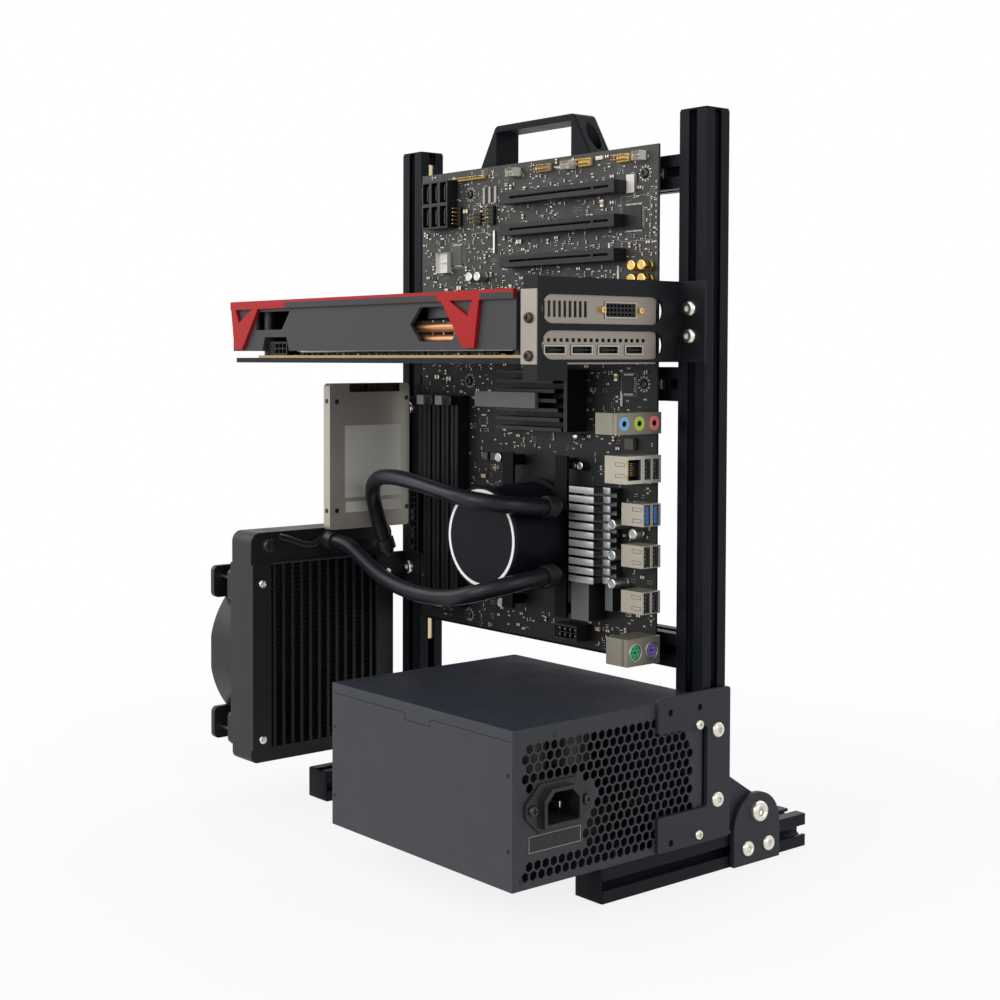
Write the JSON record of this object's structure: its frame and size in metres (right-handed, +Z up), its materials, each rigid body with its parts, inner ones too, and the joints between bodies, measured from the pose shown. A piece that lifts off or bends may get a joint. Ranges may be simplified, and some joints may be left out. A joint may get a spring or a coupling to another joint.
{
  "type": "open air test bench",
  "caption": "Open air test bench: slotted rail frame on tilting feet with a carry handle, holding a board, liquid cooler, card, drive and power supply.",
  "frame": {"origin": "on the floor, under the middle of the whole bench", "axes": "+X along the board towards its rear ports, +Y to the back of the frame, +Z up"},
  "size_m": [0.332, 0.247, 0.455],
  "materials": {
    "black_aluminium": "black satin anodised",
    "black_sheet": "black powder coat",
    "grey_aluminium": "satin grey",
    "sheet_steel": "nickel plated sheet",
    "zinc_steel": "zinc plated",
    "black_plastic": "moulded",
    "board_laminate": "printed laminate",
    "port_steel": "stamped shell",
    "dark_aluminium": "black anodised",
    "can_aluminium": "bright can",
    "gloss_black": "gloss",
    "white_plastic": "translucent white",
    "hose_rubber": "smooth",
    "black_paint": "satin paint",
    "red_plastic": "gloss red",
    "fin_aluminium": "bare fins",
    "supply_paint": "fine texture paint"
  },
  "bodies": {
    "bench": {"audio_jacks": "black_plastic", "board_sockets": "black_plastic", "bottom_cross_rail": "black_aluminium", "capacitors": "can_aluminium", "card_backplate": "black_paint", "card_board": "board_laminate", "card_end_plate": "sheet_steel", "card_heatsink": "fin_aluminium", "card_holder": "black_sheet", "card_shroud": "black_plastic", "card_sockets": "port_steel", "card_trim": "red_plastic", "carry_handle": "black_plastic", "chipset_heatsink": "dark_aluminium", "corner_connectors": "zinc_steel", "drive_bracket": "black_sheet", "expansion_slots": "black_plastic", "frame_screws": "zinc_steel", "hose_fittings": "black_plastic", "keyboard_mouse_ports": "port_steel", "left_pivot_tongue": "black_sheet", "left_upright": "black_aluminium", "lower_hose": "hose_rubber", "main_board": "board_laminate", "memory_slots": "black_plastic", "middle_cross_rail": "black_aluminium", "psu_board": "board_laminate", "psu_bracket": "black_sheet", "psu_case": "supply_paint", "psu_cover": "supply_paint", "psu_fan_frame": "black_plastic", "psu_inlet": "black_plastic", "pump_body": "gloss_black", "pump_bracket": "black_sheet", "pump_cap": "gloss_black", "pump_ring": "white_plastic", "radiator": "black_paint", "radiator_brackets": "black_sheet", "radiator_fan_frame": "black_plastic", "regulator_heatsink": "grey_aluminium", "right_pivot_tongue": "black_sheet", "right_upright": "black_aluminium", "slot_nuts": "zinc_steel", "small_screws": "zinc_steel", "solid_state_drive": "grey_aluminium", "standoffs": "zinc_steel", "top_cross_rail": "black_aluminium", "upper_hose": "hose_rubber", "usb_network_ports": "port_steel"},
    "right_foot": {"right_foot_rail": "black_aluminium", "right_pivot_plate": "black_sheet", "right_foot_bolts": "zinc_steel"},
    "left_foot": {"left_foot_rail": "black_aluminium", "left_pivot_plate": "black_sheet", "left_foot_bolts": "zinc_steel"},
    "radiator_fan_wheel": {"radiator_fan_rotor": "black_plastic"},
    "card_fan_wheel_left": {"card_fan_rotor_left": "black_plastic"},
    "card_fan_wheel_right": {"card_fan_rotor_right": "black_plastic"},
    "psu_fan_wheel": {"psu_fan_rotor": "black_plastic"}
  },
  "joints": [
    {"name": "right_foot_tilt", "type": "hinge", "parent": "bench", "child": "right_foot", "pos_m": [0.149, 0.0735, 0.031], "axis": [1, 0, 0], "range_deg": [0, 40]},
    {"name": "left_foot_tilt", "type": "hinge", "parent": "bench", "child": "left_foot", "pos_m": [-0.106, 0.0735, 0.031], "axis": [1, 0, 0], "range_deg": [0, 40]},
    {"name": "radiator_fan_spin", "type": "hinge", "parent": "bench", "child": "radiator_fan_wheel", "pos_m": [-0.164, -0.0455, 0.098], "axis": [1, 0, 0], "continuous": true},
    {"name": "card_fan_right_spin", "type": "hinge", "parent": "bench", "child": "card_fan_wheel_right", "pos_m": [0.067, -0.0455, 0.338], "axis": [0, 0, 1], "continuous": true},
    {"name": "card_fan_left_spin", "type": "hinge", "parent": "bench", "child": "card_fan_wheel_left", "pos_m": [-0.073, -0.0455, 0.338], "axis": [0, 0, 1], "continuous": true},
    {"name": "psu_fan_spin", "type": "hinge", "parent": "bench", "child": "psu_fan_wheel", "pos_m": [0.076, -0.0485, 0.02], "axis": [0, 0, 1], "continuous": true}
  ]
}
